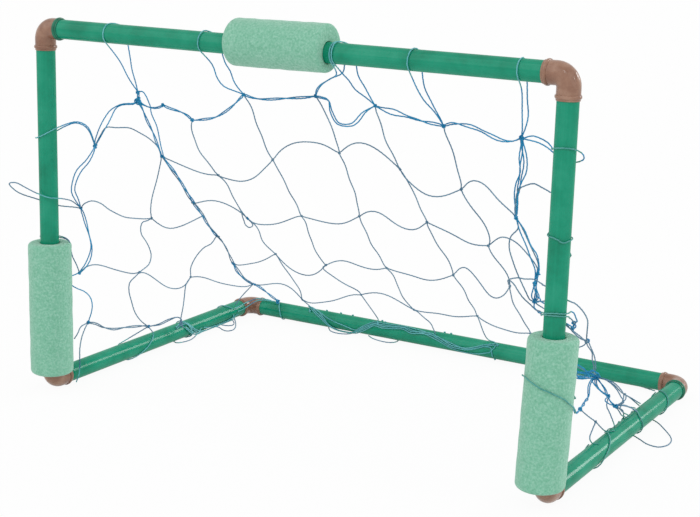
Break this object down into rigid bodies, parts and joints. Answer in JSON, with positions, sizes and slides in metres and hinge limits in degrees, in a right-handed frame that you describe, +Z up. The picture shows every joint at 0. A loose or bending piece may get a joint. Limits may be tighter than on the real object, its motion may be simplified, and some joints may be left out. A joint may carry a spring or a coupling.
{
  "type": "floating pool goal",
  "caption": "Small floating pool goal: a plastic pipe frame on moulded elbows, foam floats and a knotted twine net sloping to the rear bar.",
  "frame": {"origin": "centre of the goal's box on the ground plane that its ground elbows stand on", "axes": "+X along the crossbar to the right seen from the front, +Y from the mouth to the rear bar, +Z up"},
  "size_m": [1.012, 0.6378, 0.6349],
  "materials": {
    "green_pipe": "satin",
    "elbow_plastic": "gloss",
    "green_foam": "matte",
    "blue_twine": "matte"
  },
  "bodies": {
    "root": {"crossbar_pipe": "green_pipe", "left_upright_pipe": "green_pipe", "right_upright_pipe": "green_pipe", "left_side_rail_pipe": "green_pipe", "right_side_rail_pipe": "green_pipe", "rear_bar_pipe": "green_pipe", "elbow_top_left": "elbow_plastic", "elbow_top_right": "elbow_plastic", "elbow_front_left": "elbow_plastic", "elbow_front_right": "elbow_plastic", "elbow_rear_left": "elbow_plastic", "elbow_rear_right": "elbow_plastic", "net_back": "blue_twine", "net_left_side": "blue_twine", "net_right_side": "blue_twine"},
    "crossbar_float": {"crossbar_float": "green_foam"},
    "left_upright_float": {"left_upright_float": "green_foam"},
    "right_upright_float": {"right_upright_float": "green_foam"}
  },
  "joints": [
    {"name": "crossbar_float_slide", "type": "slide", "parent": "root", "child": "crossbar_float", "axis": [1, 0, 0], "range_m": [-0.025, 0.006]},
    {"name": "left_upright_float_slide", "type": "slide", "parent": "root", "child": "left_upright_float", "axis": [0, 0, 1], "range_m": [0, 0.045]},
    {"name": "right_upright_float_slide", "type": "slide", "parent": "root", "child": "right_upright_float", "axis": [0, 0, 1], "range_m": [0, 0.015]}
  ]
}
